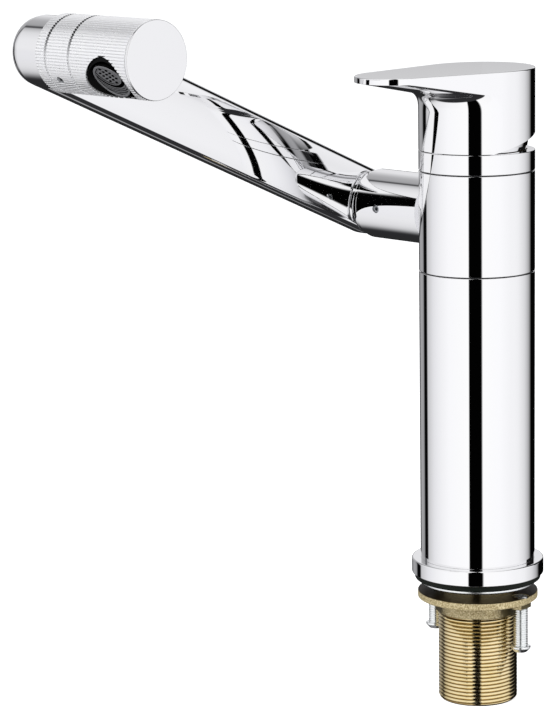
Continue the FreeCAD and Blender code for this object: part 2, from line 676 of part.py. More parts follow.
def cartridge():
    """Ceramic disc cartridge: shell, nut, discs, turret and stem."""
    shell = rod(cartridge_radius, cartridge_bottom, cartridge_shoulder)
    shell = shell.fuse(rod(cartridge_neck_radius, cartridge_shoulder, pivot + cartridge_top))
    cavity_bottom = cartridge_bottom + cartridge_floor
    flange_seat = turret_bottom + turret_flange
    shell = shell.cut(rod(cartridge_radius - cartridge_wall, cavity_bottom, cartridge_shoulder - 2))
    shell = shell.cut(rod(turret_flange_radius + running_fit, cavity_bottom, flange_seat + 0.1))
    shell = shell.cut(rod(turret_radius + running_fit, cavity_bottom, pivot + cartridge_top + 1))
    ports = [(Vector(side * inlet_offset, 0, 0), inlet_bore_radius) for side in (-1, 1)]
    ports.append((Vector(0, -outlet_port_offset, 0), outlet_port_radius))
    disc = rod(fixed_disc_radius, cavity_bottom, cavity_bottom + disc_thickness)
    for centre, radius in ports:
        shell = shell.cut(rod(radius, cartridge_bottom - 1, cavity_bottom + 1, centre=centre))
        disc = disc.cut(rod(radius, cavity_bottom - 1, cavity_bottom + 5, centre=centre))
    save("cartridge_shell", shell.removeSplitter())
    save("fixed_ceramic_disc", disc)

    nut_top = pivot + cartridge_top - nut_ring_drop
    nut = rod(cup_thread_radius, cartridge_shoulder, cartridge_shoulder + nut_ring_height)
    nut = nut.common(rod(cup_thread_radius, cartridge_shoulder, body_top))
    spanner_hex = hexagon(nut_ring_hex, body_top - 0.5, nut_top)
    nut = nut.fuse(spanner_hex.common(rod(nut_ring_corner, cartridge_shoulder, nut_top)))
    save("cartridge_nut", nut.cut(rod(cartridge_neck_radius, cartridge_bottom, nut_top + 1)))

    disc_bottom = cavity_bottom + disc_thickness + 0.02
    disc_top = disc_bottom + disc_thickness
    moving = rod(moving_disc_radius, disc_bottom, disc_top)
    chamber = rod(moving_disc_radius * 0.6, disc_bottom - 1, disc_bottom + disc_thickness * 0.5)
    save("moving_ceramic_disc", heading(moving.cut(chamber)))
    ball_height = pivot - ball_drop
    carrier = rod(carrier_radius, disc_top, turret_bottom - running_fit)
    socket = rod(ball_radius + running_fit, ball_height - ball_radius - 0.6, pivot)
    save("disc_carrier", heading(carrier.cut(socket)))

    turret = rod(turret_flange_radius, turret_bottom, flange_seat)
    turret = turret.fuse(rod(turret_radius, turret_bottom, pivot + turret_top))
    lean = tan(radians(lift_limit)) * ball_drop + stem_width / 2 + 0.4
    slot = Part.makeBox(2 * lean, stem_width + 2 * running_fit, turret_top + ball_drop + 4,
                        Vector(-lean, -stem_width / 2 - running_fit, turret_bottom - 1))
    pin_half = turret_radius - 1.2
    centre = Vector(0, 0, pivot)
    turret = turret.cut(slot).cut(rod(stem_pin_radius, -pin_half, pin_half, ALONG_Y, centre))
    save("cartridge_turret", heading(turret))
    save("stem_pin", heading(rod(stem_pin_radius, -pin_half, pin_half, ALONG_Y, centre)))

    half = stem_width / 2
    stem = Part.makeBox(stem_width, stem_width, stem_top + ball_drop / 2,
                        Vector(-half, -half, pivot - ball_drop / 2))
    stem = stem.fuse(rod(ball_radius * 0.8, ball_height, pivot - ball_drop / 2 + 0.5))
    stem = stem.fuse(Part.makeSphere(ball_radius, Vector(0, 0, ball_height)))
    stem = stem.cut(rod(stem_pin_radius + running_fit, -half - 1, half + 1, ALONG_Y, centre))
    save("cartridge_stem", heading(stem))


def paddle_corners(height):
    """Where the lever's straight sides leave the body circle and meet the tip."""
    lean = asin((column_radius - tip_radius) / tip_distance)
    side = Vector(sin(lean), cos(lean), 0)
    body = side * column_radius + UP * height
    tip = side * tip_radius + ALONG_X * tip_distance + UP * height
    return body, tip


def mirrored(point):
    """Same point on the other side of the lever's middle plane."""
    return Vector(point.x, -point.y, point.z)


def lever_hull(low, high):
    """Underside of the handle, ruled from the body circle to the handle's outline."""
    body_low, tip_low = paddle_corners(low)
    body_high, tip_high = paddle_corners(high)
    nose_low = Vector(column_radius, 0, low)
    tail_low, tail_high = (Vector(-column_radius, 0, height) for height in (low, high))
    nose_high = Vector(tip_distance + tip_radius, 0, high)
    front_low = Part.Arc(mirrored(body_low), nose_low, body_low).toShape()
    front_high = Part.Arc(mirrored(tip_high), nose_high, tip_high).toShape()
    back_low = Part.Arc(body_low, tail_low, mirrored(body_low)).toShape()
    back_high = Part.Arc(body_high, tail_high, mirrored(body_high)).toShape()
    left = Part.LineSegment(body_high, tip_high).toShape()
    right = Part.LineSegment(mirrored(tip_high), mirrored(body_high)).toShape()
    faces = [Part.makeRuledSurface(front_low, front_high), Part.makeRuledSurface(back_low, back_high),
             Part.Face(Part.Wire(Part.__sortEdges__([front_low, back_low]))),
             Part.Face(Part.Wire(Part.__sortEdges__([front_high, left, back_high, right])))]
    for near, far, tip in ((body_low, body_high, tip_high),
                           (mirrored(body_low), mirrored(body_high), mirrored(tip_high))):
        faces.append(Part.Face(Part.makePolygon([near, far, tip, near])))
    shell = Part.Shell(faces)
    shell.sewShape()
    solid = Part.Solid(Part.Shell(shell.Faces))
    return solid if solid.Volume > 0 else solid.reversed()


def paddle_prism(low, high):
    """Upright walled part of the handle over its whole outline."""
    body, tip = paddle_corners(low)
    outline = [Part.Arc(mirrored(tip), Vector(tip_distance + tip_radius, 0, low), tip).toShape(),
               Part.LineSegment(tip, body).toShape(),
               Part.Arc(body, Vector(-column_radius, 0, low), mirrored(body)).toShape(),
               Part.LineSegment(mirrored(body), mirrored(tip)).toShape()]
    return Part.Face(Part.Wire(outline)).extrude(UP * (high - low))


def lever():
    """Lever with its skirt, teardrop handle and socket for the stem."""
    root, rim, top = (skirt_bottom + height for height in (handle_root, handle_rim, handle_top))
    solid = rod(column_radius, skirt_bottom, root).fuse([lever_hull(root, rim),
                                                         paddle_prism(rim, top + 2)])
    solid = solid.removeSplitter()
    roots = [edge for edge in solid.Edges if abs(edge.BoundBox.ZMin - root) < 0.01
             and abs(edge.BoundBox.ZMax - root) < 0.01 and edge.BoundBox.XMax > column_radius - 1]
    solid = solid.makeFillet(root_fillet, roots)
    reach = tip_distance + tip_radius + column_radius
    above = Part.makeBox(2 * reach, 2 * reach, reach, Vector(-reach, -reach, top))
    above.rotate(Vector(0, 0, top), ALONG_Y, handle_fall)
    solid = solid.cut(above)
    rims = [edge for edge in solid.Edges if edge.BoundBox.ZMin > rim + 0.5
            and edge.BoundBox.ZLength < reach * sin(radians(handle_fall)) + 0.01]
    solid = solid.makeFillet(top_edge_radius, rims)

    cavity = rod(column_radius - lever_wall, skirt_bottom - 1, ceiling)
    socket_boss = rod(socket_boss_radius, ceiling - socket_boss_drop, ceiling + 1)
    solid = solid.cut(cavity.cut(socket_boss))
    below = Part.makeBox(2 * reach, 2 * reach, reach, Vector(-2 * reach, -reach, -reach))
    below.rotate(ORIGIN, ALONG_Y, skirt_rise)
    below.translate(Vector(skirt_rise_start, 0, skirt_bottom))
    solid = solid.cut(below)
    half = stem_width / 2
    socket = Part.makeBox(stem_width, stem_width, stem_top - ceiling_above_pivot + 10,
                          Vector(-half, -half, pivot + stem_top - (stem_top - ceiling_above_pivot + 10)))
    solid = solid.cut(socket)
    grub_centre = Vector(0, 0, pivot + lever_grub_height)
    solid = solid.cut(rod(lever_grub_radius, -socket_boss_radius - 1, -half, ALONG_X, grub_centre))
    plug_start = -column_radius - 1
    solid = solid.cut(rod(plug_radius, plug_start, -column_radius + lever_wall + 1, ALONG_X,
                          grub_centre))
    save("lever_handle", heading(solid))
    grub = socket_screw(lever_grub_radius, half, half + lever_grub_length, ALONG_X * -1, grub_centre)
    save("lever_grub_screw", heading(grub))
    plug = rod(plug_radius, -column_radius - 1, -column_radius + lever_wall, ALONG_X, grub_centre)
    plug = plug.common(rod(column_radius - 0.1, skirt_bottom, ceiling))
    plug = plug.cut(rod(column_radius - lever_wall, skirt_bottom, ceiling))
    save("lever_plug", heading(plug))


base_and_clamp()
valve_body()
column()
spout_section()
arm()
arm_joint()
head_rings()
head_spigot()
outlet_barrel()
aerator()
cartridge()
lever()
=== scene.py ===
"""Looks of the mixer tap: polished chrome, knurled outlet head, brass shank and clamp.

Points are written in millimetres and turned to metres as each mesh is made.
"""
import json
from math import acos, asin, atan2, ceil, cos, inf, pi, radians, sin, sqrt, tan

import bmesh
import bpy
from mathutils import Matrix, Vector


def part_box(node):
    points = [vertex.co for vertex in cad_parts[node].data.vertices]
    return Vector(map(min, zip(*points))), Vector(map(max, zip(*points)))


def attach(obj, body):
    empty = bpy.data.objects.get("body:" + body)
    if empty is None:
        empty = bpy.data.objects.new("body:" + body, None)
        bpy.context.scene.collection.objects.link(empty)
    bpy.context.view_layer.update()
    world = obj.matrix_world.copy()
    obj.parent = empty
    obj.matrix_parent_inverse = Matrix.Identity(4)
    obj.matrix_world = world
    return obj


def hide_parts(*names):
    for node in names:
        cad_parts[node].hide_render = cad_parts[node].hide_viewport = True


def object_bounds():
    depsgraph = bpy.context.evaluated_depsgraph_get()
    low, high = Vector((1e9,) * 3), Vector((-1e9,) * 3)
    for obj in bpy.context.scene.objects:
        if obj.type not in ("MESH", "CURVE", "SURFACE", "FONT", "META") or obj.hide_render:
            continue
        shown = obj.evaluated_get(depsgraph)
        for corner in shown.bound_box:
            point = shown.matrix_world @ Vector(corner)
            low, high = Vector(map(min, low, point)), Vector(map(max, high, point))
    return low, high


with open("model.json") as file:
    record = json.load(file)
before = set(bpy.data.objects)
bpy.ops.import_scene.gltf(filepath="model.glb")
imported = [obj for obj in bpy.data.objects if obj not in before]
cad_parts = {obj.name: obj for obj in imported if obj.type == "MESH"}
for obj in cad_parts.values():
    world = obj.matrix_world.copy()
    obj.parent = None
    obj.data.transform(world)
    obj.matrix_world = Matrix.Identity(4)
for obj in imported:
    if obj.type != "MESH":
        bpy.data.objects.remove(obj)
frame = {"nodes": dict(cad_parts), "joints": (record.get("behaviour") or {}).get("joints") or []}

cad_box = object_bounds()
MM = 0.001
nodes = frame["nodes"]
joints = {joint["name"]: joint for joint in frame["joints"]}


# Camera
# The photograph looks down at the tap from in front and to the right, from about
# 1.2 m away through a long lens.
camera_place = Vector((908.14, 825.60, 329.31)) * MM
look_heading = radians(-133.845)
look_pitch = radians(-10.858)
look_roll = radians(-0.865)
camera_data = bpy.data.cameras.new("camera")
camera_data.lens = 149.5
camera_data.sensor_width = 36.0
camera_data.clip_end = 30.0
camera = bpy.data.objects.new("camera", camera_data)
camera.matrix_world = (Matrix.Translation(camera_place)
                       @ Matrix.Rotation(look_heading - pi / 2, 4, "Z")
                       @ Matrix.Rotation(pi / 2 + look_pitch, 4, "X")
                       @ Matrix.Rotation(look_roll, 4, "Z"))
scene = bpy.context.scene
scene.collection.objects.link(camera)
scene.camera = camera
scene.view_settings.view_transform = "Standard"


# Studio surround
# A white photographic tent with upright black flags round the tap. Polished
# metal shows the tent and its flags; the lens sees plain white behind the tap.
def linear(hex_colour):
    """Linear colour of an sRGB hex value."""
    values = [int(hex_colour[i:i + 2], 16) / 255 for i in (0, 2, 4)]
    return [v / 12.92 if v <= 0.04045 else ((v + 0.055) / 1.055) ** 2.4 for v in values] + [1.0]


def feed(tree, node, inputs):
    """Give a node's inputs their values, or the sockets that feed them."""
    for key, value in inputs.items():
        if isinstance(value, bpy.types.NodeSocket):
            tree.links.new(value, node.inputs[key])
        else:
            node.inputs[key].default_value = value
    return node


def add(tree, kind, inputs=None, **settings):
    """Add one node; each input is a value, or the socket that feeds it."""
    node = tree.nodes.new(kind)
    for name, value in settings.items():
        setattr(node, name, value)
    return feed(tree, node, inputs or {})


def mixed(tree, share, first, second):
    """Colour that goes from the first to the second as a share goes from 0 to 1."""
    return add(tree, "ShaderNodeMix", {0: share, 6: first, 7: second},
               data_type="RGBA").outputs[2]


def between(tree, value, start, end):
    """Share that goes from 0 to 1 as a value goes from start to end."""
    return add(tree, "ShaderNodeMapRange",
               {"Value": value, "From Min": start, "From Max": end}).outputs[0]


def spread(tree, share, low, high):
    """Value that goes from low to high as a share goes from 0 to 1."""
    return add(tree, "ShaderNodeMapRange",
               {"Value": share, "To Min": low, "To Max": high}).outputs[0]


def reckon(tree, operation, *values):
    """Result of one operation on sockets or numbers."""
    return add(tree, "ShaderNodeMath", dict(enumerate(values)), operation=operation).outputs[0]


def ramp(tree, factor, stops):
    """Colour ramp from (place, hex) stops."""
    node = add(tree, "ShaderNodeValToRGB", {"Fac": factor})
    bar = node.color_ramp
    while len(bar.elements) < len(stops):
        bar.elements.new(0.5)
    for element, (place, colour) in zip(bar.elements, stops):
        element.position = place
        element.color = linear(colour)
    return node.outputs["Color"]


camera_heading = atan2(camera_place.y, camera_place.x)
# Degrees round from the lens, anticlockwise seen from above: the walls at the height of
# the eye, the roof over them, the foot under them and the table round the tap
tent_stops = [(-180, "242425"), (-163, "242425"), (-155, "9C9C9E"), (-147, "A0A0A2"),
              (-136, "969698"), (-133, "5A5A5C"),
              (-131, "060606"), (-120, "060606"), (-117, "C6C6C8"), (-110, "D0D0D2"),
              (-98, "E3E3E6"), (-87, "ECECEF"), (-76, "F3F3F5"), (-58, "FBFBFD"), (-17, "FFFFFF"),
              (-15.6, "020202"), (8.4, "020202"), (11.2, "FFFFFF"), (46, "FDFDFF"),
              (70, "F6F6F8"), (80, "F5F5F7"), (90, "F1F1F3"), (96, "EAEAEC"),
              (102, "E3E3E5"), (109, "DADADC"), (116, "C8C8CA"), (124, "ACACAE"),
              (131, "6C6C6C"), (134, "040404"), (178, "040404"), (180, "404042")]
roof_stops = [(-180, "E2E2E4"), (-171, "E4E4E6"), (-165, "D0D0D2"), (-158, "BABABC"),
              (-151, "ACACAE"), (-142, "A6A6A8"), (-135, "9E9EA0"), (-130, "4E4E50"),
              (-127, "4E4E50"), (-124, "B0B0B2"), (-119, "C6C6C8"), (-112, "DCDCDE"),
              (-100, "EAEAEC"), (-17, "FFFFFF"), (-15.6, "020202"), (8.4, "020202"),
              (11.2, "FFFFFF"), (100, "F4F4F6"), (115, "E2E2E4"), (118, "161616"),
              (156, "161616"), (162, "E2E2E4"), (180, "E2E2E4")]
foot_stops = [(-180, "282829"), (-140, "2A2A2C"), (-134, "3A3A3C"), (-128, "68686A"),
              (-122, "949496"), (-117, "B6B6B8"), (-112, "CCCCCE"), (-104, "DEDEE0"),
              (-92, "EAEAEC"), (-58, "F8F8FA"), (-17, "FFFFFF"), (-15.6, "020202"),
              (8.4, "020202"), (11.2, "FFFFFF"), (80, "F2F2F4"), (104, "DCDCDE"),
              (118, "B4B4B6"), (132, "5A5A5C"), (140, "2A2A2C"), (180, "282829")]
table_stops = [(-180, "6A6A6C"), (-170, "A0A0A2"), (-146, "A0A0A2"), (-126, "5A5A5C"),
               (-104, "2C2C2E"), (176, "2C2C2E"), (180, "3A3A3C")]

world = bpy.data.worlds.new("studio")
scene.world = world
world.use_nodes = True
tent = world.node_tree
tent.nodes.clear()
way = add(tent, "ShaderNodeSeparateXYZ", {0: add(tent, "ShaderNodeTexCoord").outputs["Generated"]})
around = reckon(tent, "ARCTAN2", way.outputs["Y"], way.outputs["X"])
from_lens = reckon(tent, "SUBTRACT", around, camera_heading)
place_round = between(tent, reckon(tent, "WRAP", from_lens, pi, -pi), -pi, pi)


def round_tent(stops):
    """Colour round the tent, from its stops."""
    return ramp(tent, place_round, [((angle + 180) / 360, colour) for angle, colour in stops])


def height_edge(low, high):
    """Share that rises from 0 to 1 between two heights above the horizon, in degrees."""
    return between(tent, way.outputs["Z"], sin(radians(low)), sin(radians(high)))


walls = mixed(tent, height_edge(-24, -17), round_tent(foot_stops), round_tent(tent_stops))
above = mixed(tent, height_edge(1, 8), walls, round_tent(roof_stops))
tent_colour = mixed(tent, height_edge(-51, -47), round_tent(table_stops), above)
rays = add(tent, "ShaderNodeLightPath")
shown = add(tent, "ShaderNodeBackground", {"Color": linear("F4F6F8"), "Strength": 0.62})
mirrored_tent = add(tent, "ShaderNodeBackground", {"Color": tent_colour, "Strength": 1.08})
white_sweep = add(tent, "ShaderNodeBackground", {"Color": linear("FFFFFF"), "Strength": 1.0})
# Dull pieces are lit by plain light, polished ones mirror the tent, the lens sees white
for ray, light in (("Is Glossy Ray", mirrored_tent), ("Is Transmission Ray", white_sweep),
                   ("Is Camera Ray", white_sweep)):
    shown = add(tent, "ShaderNodeMixShader", {0: rays.outputs[ray], 1: shown.outputs[0],
                                              2: light.outputs[0]})
add(tent, "ShaderNodeOutputWorld", {"Surface": shown.outputs[0]})


def soft_box(name, place, aim, size, watts):
    """Square lamp that lights the dull pieces and isn't mirrored in the chrome."""
    data = bpy.data.lights.new(name, "AREA")
    data.shape = "SQUARE"
    data.size = size
    data.energy = watts
    lamp = bpy.data.objects.new(name, data)
    lamp.location = place
    lamp.rotation_euler = (Vector(aim) - Vector(place)).to_track_quat("-Z", "Y").to_euler()
    lamp.visible_glossy = False
    scene.collection.objects.link(lamp)


soft_box("key_lamp", (1.1, 0.2, 1.0), (0.03, 0, 0.08), 0.8, 14.0)
soft_box("fill_lamp", (-0.1, 1.3, 0.5), (0.03, 0, 0.08), 0.9, 7.0)


# Floor
# A pale seamless sheet under the tap, which stands on the end of its shank.
# Painted board, matt; it shows only the soft shadow round the foot.
floor_reach = 6.0
floor_level = cad_box[0].z
floor_mesh = bpy.data.meshes.new("floor")
floor_mesh.from_pydata([(x * floor_reach, y * floor_reach, floor_level)
                        for x, y in ((-1, -1), (1, -1), (1, 1), (-1, 1))], [], [(0, 1, 2, 3)])
floor = bpy.data.objects.new("floor", floor_mesh)
scene.collection.objects.link(floor)
paint = bpy.data.materials.new("pale_board")
paint.use_nodes = True
tree = paint.node_tree
tree.nodes.clear()
board_grain = add(tree, "ShaderNodeTexNoise", {"Scale": 3.0, "Detail": 2.0})
board_tone = mixed(tree, board_grain.outputs["Fac"], linear("F1F1F2"), linear("F6F6F7"))
matt = add(tree, "ShaderNodeBsdfDiffuse", {"Color": board_tone})
lens_lift = add(tree, "ShaderNodeEmission", {"Color": linear("FFFFFF"), "Strength": 0.6})
both = add(tree, "ShaderNodeAddShader", {0: matt.outputs[0], 1: lens_lift.outputs[0]})
seen = add(tree, "ShaderNodeLightPath")
lit = add(tree, "ShaderNodeMixShader", {0: seen.outputs["Is Camera Ray"], 1: matt.outputs[0],
                                        2: both.outputs[0]})
add(tree, "ShaderNodeOutputMaterial", {"Surface": lit.outputs[0]})
floor_mesh.materials.append(paint)
floor.visible_glossy = False


# Base flange
# Turned brass ring under the column, polished and chrome plated. The plate is
# clear and mirror bright, with the faintest cloud where the buff has passed.
UP = Vector((0, 0, 1))
ALONG_X = Vector((1, 0, 0))
ALONG_Y = Vector((0, 1, 0))
ORIGIN = Vector((0, 0, 0))


def material(name):
    """New material with an empty tree and its principled shader and output."""
    made = bpy.data.materials.new(name)
    made.use_nodes = True
    made.node_tree.nodes.clear()
    shader = add(made.node_tree, "ShaderNodeBsdfPrincipled")
    add(made.node_tree, "ShaderNodeOutputMaterial", {"Surface": shader.outputs[0]})
    return made, made.node_tree, shader


def grain(tree, size_mm, detail=3.0):
    """Noise whose spots are about size_mm across, fixed to the piece."""
    spot = add(tree, "ShaderNodeTexCoord")
    return add(tree, "ShaderNodeTexNoise", {"Vector": spot.outputs["Object"],
                                            "Scale": 1000.0 / size_mm,
                                            "Detail": detail}).outputs["Fac"]


def metal_skin(name, tone, low, high, cloud_mm=18.0, metallic=1.0):
    """Polished or plated metal, its roughness from low to high across clouds of this size."""
    made, tree, shader = material(name)
    feed(tree, shader, {"Base Color": linear(tone), "Metallic": metallic,
                        "Roughness": spread(tree, grain(tree, cloud_mm), low, high)})
    return made


chrome = metal_skin("polished_chrome", "F4F4F5", 0.012, 0.03)


def softened(corners, closed):
    """Outline with its corners rounded, from (radius, station, rounding) corners."""
    outline = []
    count = len(corners)
    for number, (radius, station, rounding) in enumerate(corners):
        here = Vector((radius, station))
        if rounding == 0 or (not closed and number in (0, count - 1)):
            outline.append(here)
            continue
        before = Vector(corners[number - 1][:2]) - here
        after = Vector(corners[(number + 1) % count][:2]) - here
        half = before.angle(after) / 2
        reach = rounding / tan(half)
        start = here + before.normalized() * reach
        middle = here + (before.normalized() + after.normalized()).normalized() * rounding / sin(half)
        sweep = pi - 2 * half
        turn = before.x * after.y - before.y * after.x
        arm = start - middle
        steps = max(2, ceil(sweep / radians(12)))
        for step in range(steps + 1):
            angle = (sweep if turn < 0 else -sweep) * step / steps
            outline.append(middle + Vector((arm.x * cos(angle) - arm.y * sin(angle),
                                            arm.x * sin(angle) + arm.y * cos(angle))))
    return outline


def square_to(along):
    """Two directions square to a turning axis."""
    first = UP if abs(along.z) < 0.5 else ALONG_X
    second = along.cross(first).normalized()
    return second.cross(along).normalized(), second


def turned(corners, steps=256, closed=True, origin=ORIGIN, along=UP):
    """Surface turned about an axis, as (points, faces)."""
    outline = softened(corners, closed)
    across, third = square_to(along)
    points = []
    for step in range(steps):
        angle = 2 * pi * step / steps
        out = across * cos(angle) + third * sin(angle)
        points += [origin + out * spot.x + along * spot.y for spot in outline]
    count = len(outline)
    spans = count if closed else count - 1
    faces = []
    for step in range(steps):
        here, there = step * count, (step + 1) % steps * count
        for spot in range(spans):
            after = (spot + 1) % count
            faces.append((here + spot, here + after, there + after, there + spot))
    return points, faces


def mesh_from(name, parts):
    """Mesh of several closed (points, faces) surfaces, with poles and seams merged."""
    form = bmesh.new()
    for points, faces in parts:
        verts = [form.verts.new(Vector(point) * MM) for point in points]
        for face in faces:
            form.faces.new([verts[index] for index in face])
    bmesh.ops.remove_doubles(form, verts=form.verts, dist=0.002 * MM)
    bmesh.ops.dissolve_degenerate(form, edges=form.edges, dist=0.001 * MM)
    bmesh.ops.recalc_face_normals(form, faces=form.faces)
    mesh = bpy.data.meshes.new(name)
    form.to_mesh(mesh)
    form.free()
    return mesh


def piece(name, parts, finish, body, node, crease=35.0):
    """One object from several closed surfaces, riding on a body in place of a CAD node."""
    made = bpy.data.objects.new(name, mesh_from(name, parts))
    scene.collection.objects.link(made)
    smooth(made, crease)
    made.data.materials.append(finish)
    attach(made, body)
    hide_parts(node)
    return made


def smooth(made, crease):
    """Smooth shading that keeps true creases and lets the large faces rule."""
    made.data.shade_smooth()
    made.data.set_sharp_from_angle(angle=radians(crease))
    weigh = made.modifiers.new("face_weights", "WEIGHTED_NORMAL")
    weigh.keep_sharp = True


def box_mm(node):
    """Lowest and highest corner of a CAD node in millimetres."""
    low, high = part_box(node)
    return low / MM, high / MM


def ring_corners(outer, inner, low, high, lower=0.0, upper=0.0):
    """Corners of a plain ring with its outer edges rounded."""
    return [(inner, low, 0), (outer, low, lower), (outer, high, upper), (inner, high, 0)]


def ring(name, node, bore, lower, upper, finish=chrome):
    """Plain ring on the tap's body, as wide and as high as its CAD node."""
    low, high = box_mm(node)
    piece(name, [turned(ring_corners(high.x, bore, low.z, high.z, lower, upper))],
          finish, "tap_body", node)


flange_high = box_mm("base_flange")[1]
column_radius = box_mm("column_sleeve")[1].x
column_wall = 2.0
column_bore = column_radius - column_wall
ring("flange", "base_flange", column_bore, 0.4, 0.8)


# Column sleeve, collar and glide rings
# Drawn brass tube, polished and plated, with the collar that closes its top.
# The rings between the turning faces are thin dark acetal and show as fine lines.
glide_ring_width = 2.5
ring("column", "column_sleeve", column_bore, 0.15, 0.25)
ring("collar", "collar_ring", box_mm("lower_glide_ring")[1].x - glide_ring_width, 0.25, 0.35)


def bumped(tree, height, strength, depth_mm):
    """Normal of a fine relief over the surface."""
    return add(tree, "ShaderNodeBump", {"Strength": strength, "Distance": depth_mm * MM,
                                        "Height": height}).outputs[0]


def moulded(name, tone, roughness, spot_mm, bump=0.15, shine=0.5):
    """Plastic or rubber as it leaves the mould, with a fine even grain."""
    made, tree, shader = material(name)
    spots = grain(tree, spot_mm)
    shade = add(tree, "ShaderNodeHueSaturation",
                {"Color": linear(tone), "Value": spread(tree, spots, 0.9, 1.1)})
    feed(tree, shader, {"Base Color": shade.outputs[0], "Roughness": roughness,
                        "Specular IOR Level": shine, "Normal": bumped(tree, spots, bump, 0.02)})
    return made


def coat(finish, *names):
    """Give CAD nodes that stay in sight their finish."""
    for name in names:
        nodes[name].data.materials.clear()
        nodes[name].data.materials.append(finish)


coat(moulded("dark_acetal", "2A2A2C", 0.45, 0.3), "lower_glide_ring", "upper_glide_ring")


# Gasket
# Moulded black rubber ring with a rounded rim, squeezed between flange and worktop.
rubber = moulded("gasket_rubber", "0C120C", 0.5, 0.4, 0.3, 0.15)
gasket_high = box_mm("base_gasket")[1]
shank_low, shank_high = box_mm("threaded_shank")
washer_high = box_mm("clamp_washer")[1]
gasket_lip = washer_high.x + 0.2
piece("gasket", [turned([(gasket_lip, 0, 0), (gasket_high.x, 0, 0.9),
                         (gasket_high.x, gasket_high.z, 0.3), (shank_high.x, gasket_high.z, 0),
                         (shank_high.x, washer_high.z, 0), (gasket_lip, washer_high.z, 0)])],
      rubber, "tap_body", "base_gasket")


# Clamp washer
# Stamped steel ring, bright zinc plated: blue-white, softly mottled and duller
# than chrome. Its rolled edge shows as a pale line.
zinc = metal_skin("bright_zinc", "F6F8F8", 0.2, 0.32, 1.2)
ring("washer", "clamp_washer", shank_high.x, 0.9, 0.4, zinc)


# Threaded shank
# Turned brass tube with a fine outside thread, left bright; its thread roots carry painted shade.
def band(first, second, steps):
    """Faces between two closed rows of points that start at these numbers."""
    return [(first + step, first + (step + 1) % steps, second + (step + 1) % steps, second + step)
            for step in range(steps)]


def relief_rod(stations, steps, radius_at, bore=0.0, origin=ORIGIN, along=UP):
    """Rod whose outer radius is a function of angle and station, as (points, faces)."""
    across, third = square_to(along)
    outs = [across * cos(2 * pi * step / steps) + third * sin(2 * pi * step / steps)
            for step in range(steps)]
    points = []
    for station in stations:
        points += [origin + along * station + outs[step] * radius_at(2 * pi * step / steps, station)
                   for step in range(steps)]
    faces = []
    for row in range(len(stations) - 1):
        faces += band(row * steps, (row + 1) * steps, steps)
    last_row = (len(stations) - 1) * steps
    if bore == 0:
        faces += [tuple(range(steps)), tuple(range(last_row, last_row + steps))]
        return points, faces
    base = len(points)
    for station in (stations[0], stations[-1]):
        points += [origin + along * station + out * bore for out in outs]
    faces += band(0, base, steps) + band(last_row, base + steps, steps)
    return points, faces + band(base, base + steps, steps)


def spaced(start, end, count):
    """Values from start to end, in this many equal steps."""
    return [start + (end - start) * number / count for number in range(count + 1)]


def evenly(start, end, step):
    """Stations from start to end, about step apart."""
    return spaced(start, end, max(1, round((end - start) / step)))


def thread_radius(crest, pitch, depth, low, chamfer, flank):
    """Radius of a single-start thread: flat crest, straight flanks and a sharp root."""
    def radius_at(angle, station):
        phase = (station / pitch - angle / (2 * pi)) % 1.0
        fall = max(0.0, 1 - abs(phase - 0.5) / flank)
        limit = crest - max(0.0, chamfer - (station - low))
        return min(crest - depth * fall, limit)
    return radius_at


def machined_brass(name, tone, dark, roughness):
    """Turned brass: warm and bright, finely scratched and a little tarnished."""
    made, tree, shader = material(name)
    colour = ramp(tree, grain(tree, 12.0, 2.0), [(0.3, dark), (0.62, tone)])
    scratches = spread(tree, grain(tree, 0.8), roughness * 0.8, roughness * 1.3)
    feed(tree, shader, {"Base Color": colour, "Metallic": 1.0, "Roughness": scratches})
    return made, tree, shader, colour


thread_brass, tree, shader, unshaded_tone = machined_brass("threaded_brass", "FBE9BC", "F0DCA6", 0.12)
thread_pitch = 1.58
thread_depth = 0.55
thread_top = -14.6
shank_bore = 12.5
shank_neck = 16.4
painted_root_depths = (0.22, 0.48)     # below the crest, where the painted shade in the roots starts and is darkest
spot = add(tree, "ShaderNodeSeparateXYZ", {0: add(tree, "ShaderNodeTexCoord").outputs["Object"]})
level = add(tree, "ShaderNodeCombineXYZ", {"X": spot.outputs["X"], "Y": spot.outputs["Y"]})
outward = add(tree, "ShaderNodeVectorMath", {0: level.outputs[0]}, operation="LENGTH")
root_shade = between(tree, outward.outputs["Value"], *[(shank_high.x - depth) * MM
                                                  for depth in painted_root_depths])
# Painted shade: dark brown in the thread's roots, deepest at the root
feed(tree, shader, {"Base Color": mixed(tree, root_shade, unshaded_tone, linear("7A5E26"))})
threaded = relief_rod(evenly(shank_low.z, thread_top, thread_pitch / 20), 180,
                      thread_radius(shank_high.x, thread_pitch, thread_depth, shank_low.z, 1.0, 0.42),
                      shank_bore)
neck = turned(ring_corners(shank_neck, shank_bore, thread_top, flange_high.z), 128)
piece("shank", [threaded, neck], thread_brass, "tap_body", "threaded_shank", 60)


# Clamp nut
# Sand-cast brass disc with a hexagon below it, drilled for two screws. The skin is
# grainy and matt; what faces up carries painted shade, and so do the hexagon's side flats.
nut_low, nut_high = box_mm("clamp_nut")
nut_bottom, nut_face = nut_low.z, nut_high.z
nut_disc = 3.1
disc_bottom = nut_face - nut_disc
disc_rounding = 0.5
front_flat = radians(31.2)
flat_distance = 17.5
corner_low, corner_high = 17.8, 18.9
hub_chamfer = 0.4
hub_rows = (0, hub_chamfer / 2, hub_chamfer, 2.5)      # heights over the hub's lower end
hub_sink = 0.8                # how far the hub runs up into the disc
hub_bore = shank_neck + 0.07
screw_heading = radians(97.2)
screw_pitch_radius = 21.9
boss_radius = 4.6
boss_drop = 1.8               # how far the bosses stand out below the disc
boss_limit = nut_high.x - 0.3
hole_radius = 3.05
hole_mouth_radius = 3.5
hole_mouth_depth = 0.45


